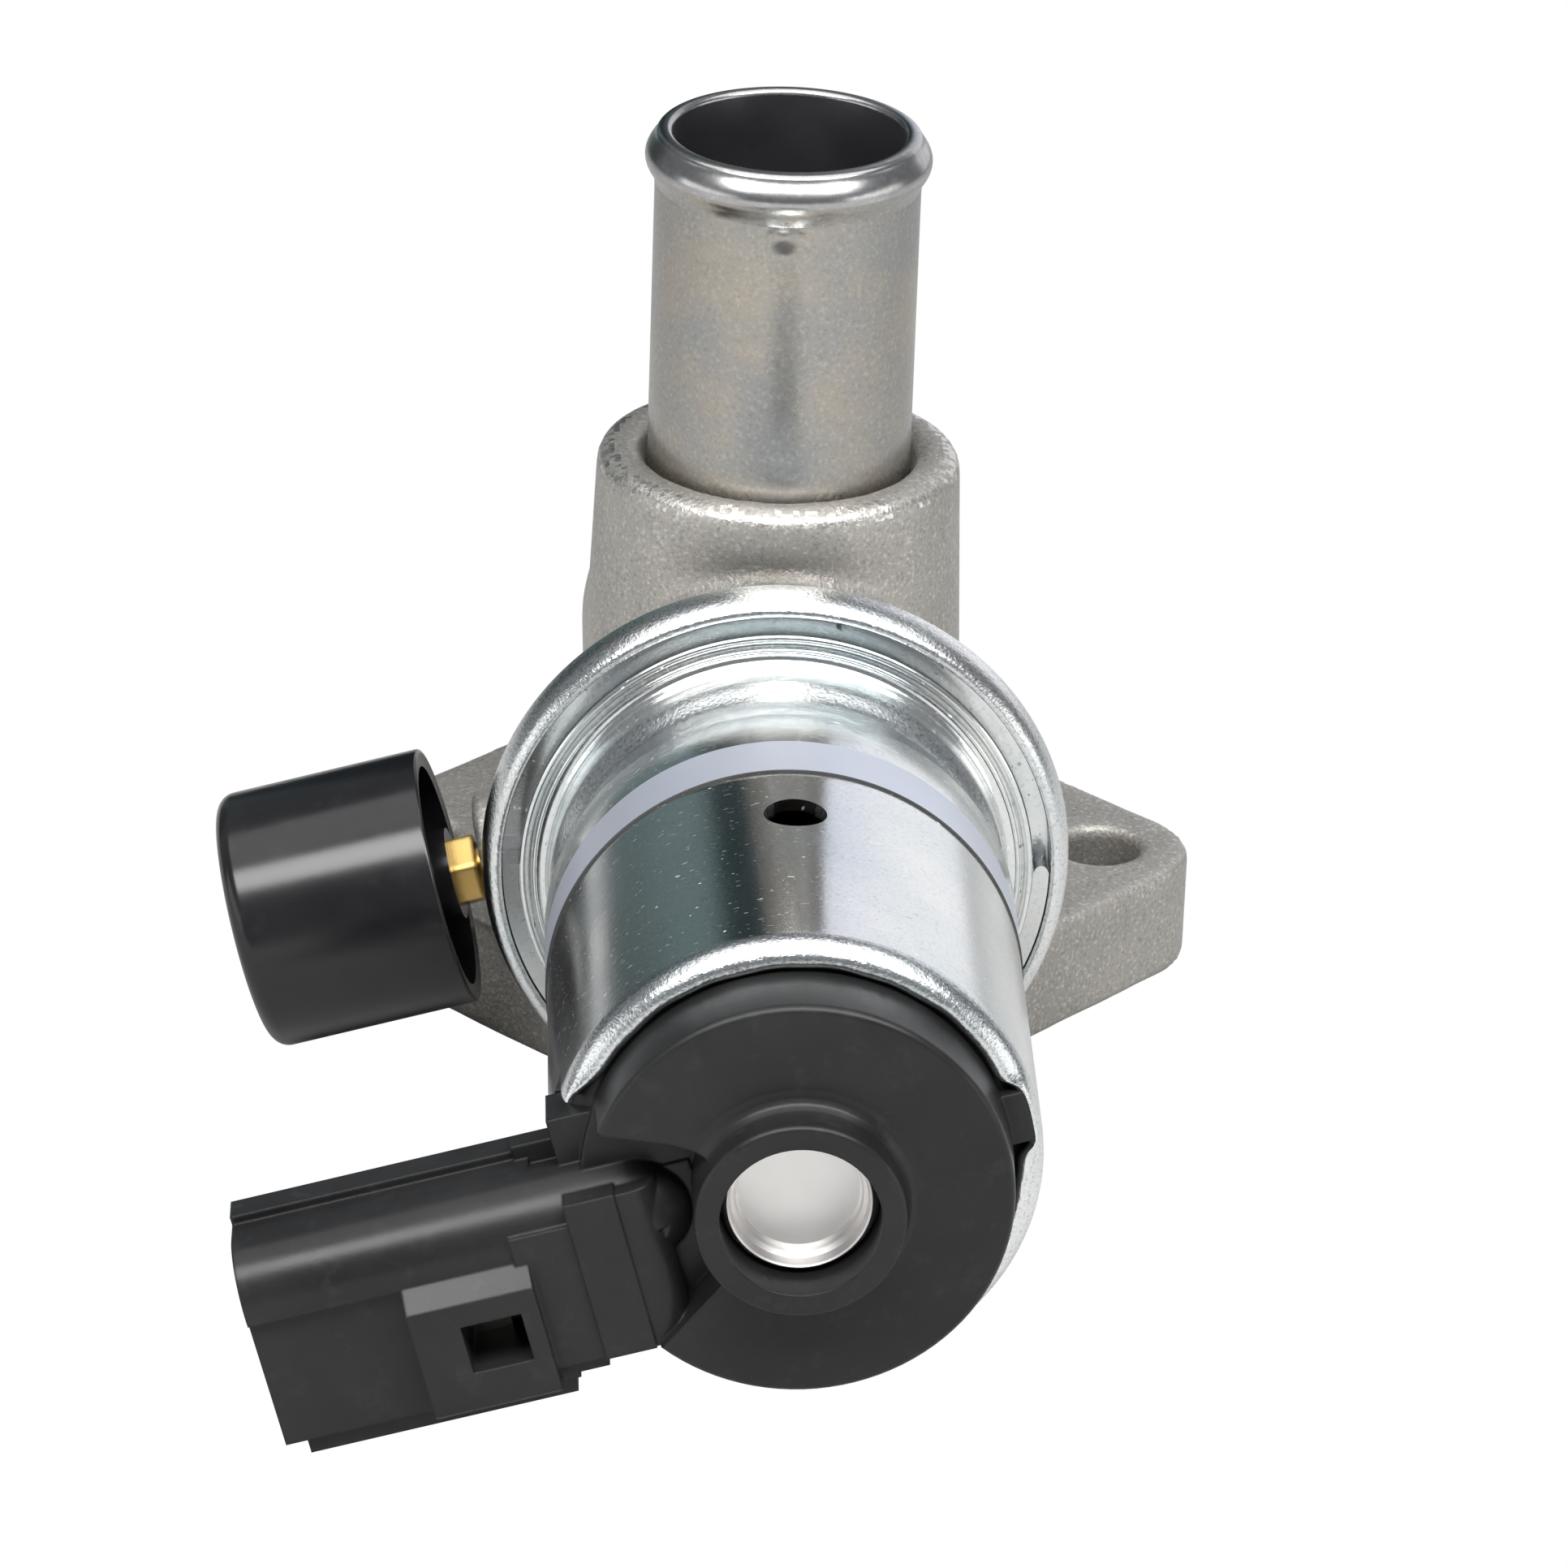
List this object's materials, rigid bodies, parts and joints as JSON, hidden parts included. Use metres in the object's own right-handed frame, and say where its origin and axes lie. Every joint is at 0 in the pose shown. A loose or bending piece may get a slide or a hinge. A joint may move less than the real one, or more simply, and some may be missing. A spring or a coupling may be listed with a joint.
{
  "type": "idle air control valve",
  "caption": "Idle air control valve: cast housing on a bolted flange, hose tube on top, plated solenoid lying forward with a moulded connector, and a capped side port",
  "frame": {"origin": "middle of the line between the two bolt holes, on the flange's mounting face", "axes": "+Z leaves the mounting face along the hose tube; -Y runs along the solenoid from the housing to the connector end; X is the bolt line, with the connector and the capped port on the -X side"},
  "size_m": [0.0841, 0.1243, 0.0812],
  "materials": {
    "cast_aluminium": "satin",
    "tube_steel": "satin",
    "zinc_plate": "gloss",
    "bare_steel": "satin",
    "spring_steel": "satin",
    "black_moulding": "matt",
    "black_cap": "gloss",
    "bobbin_nylon": "matt",
    "copper": "gloss",
    "tinned_brass": "satin",
    "brass": "gloss",
    "bronze": "satin",
    "machined_aluminium": "satin",
    "seal_rubber": "matt"
  },
  "bodies": {
    "valve": {"valve_body": "cast_aluminium", "hose_tube": "tube_steel", "clamp_ring": "zinc_plate", "retaining_ring": "zinc_plate", "mounting_flange": "zinc_plate", "solenoid_can": "zinc_plate", "end_cap": "black_moulding", "terminal_upper": "tinned_brass", "terminal_lower": "tinned_brass", "core_plug": "zinc_plate", "adjusting_screw": "brass", "fixed_core": "bare_steel", "guide_sleeve": "bronze", "coil_bobbin": "bobbin_nylon", "coil_winding": "copper", "yoke_washer": "bare_steel", "end_seal": "seal_rubber", "pole_plate": "bare_steel", "front_bushing": "bronze", "flange_seal": "seal_rubber", "valve_seat": "machined_aluminium", "rear_bushing": "bronze", "rear_plug": "machined_aluminium", "return_spring": "spring_steel", "side_fitting": "brass", "port_cap": "black_cap"},
    "plunger": {"armature": "bare_steel", "valve_shaft": "bare_steel", "poppet": "machined_aluminium", "poppet_seal": "seal_rubber", "poppet_clip": "spring_steel"}
  },
  "joints": [
    {"name": "plunger_slide", "type": "slide", "parent": "valve", "child": "plunger", "axis": [0, -1, 0], "range_m": [0, 0.004], "stiffness_N_per_m": 400, "springref_m": -0.004, "deforming": ["return_spring"]}
  ]
}
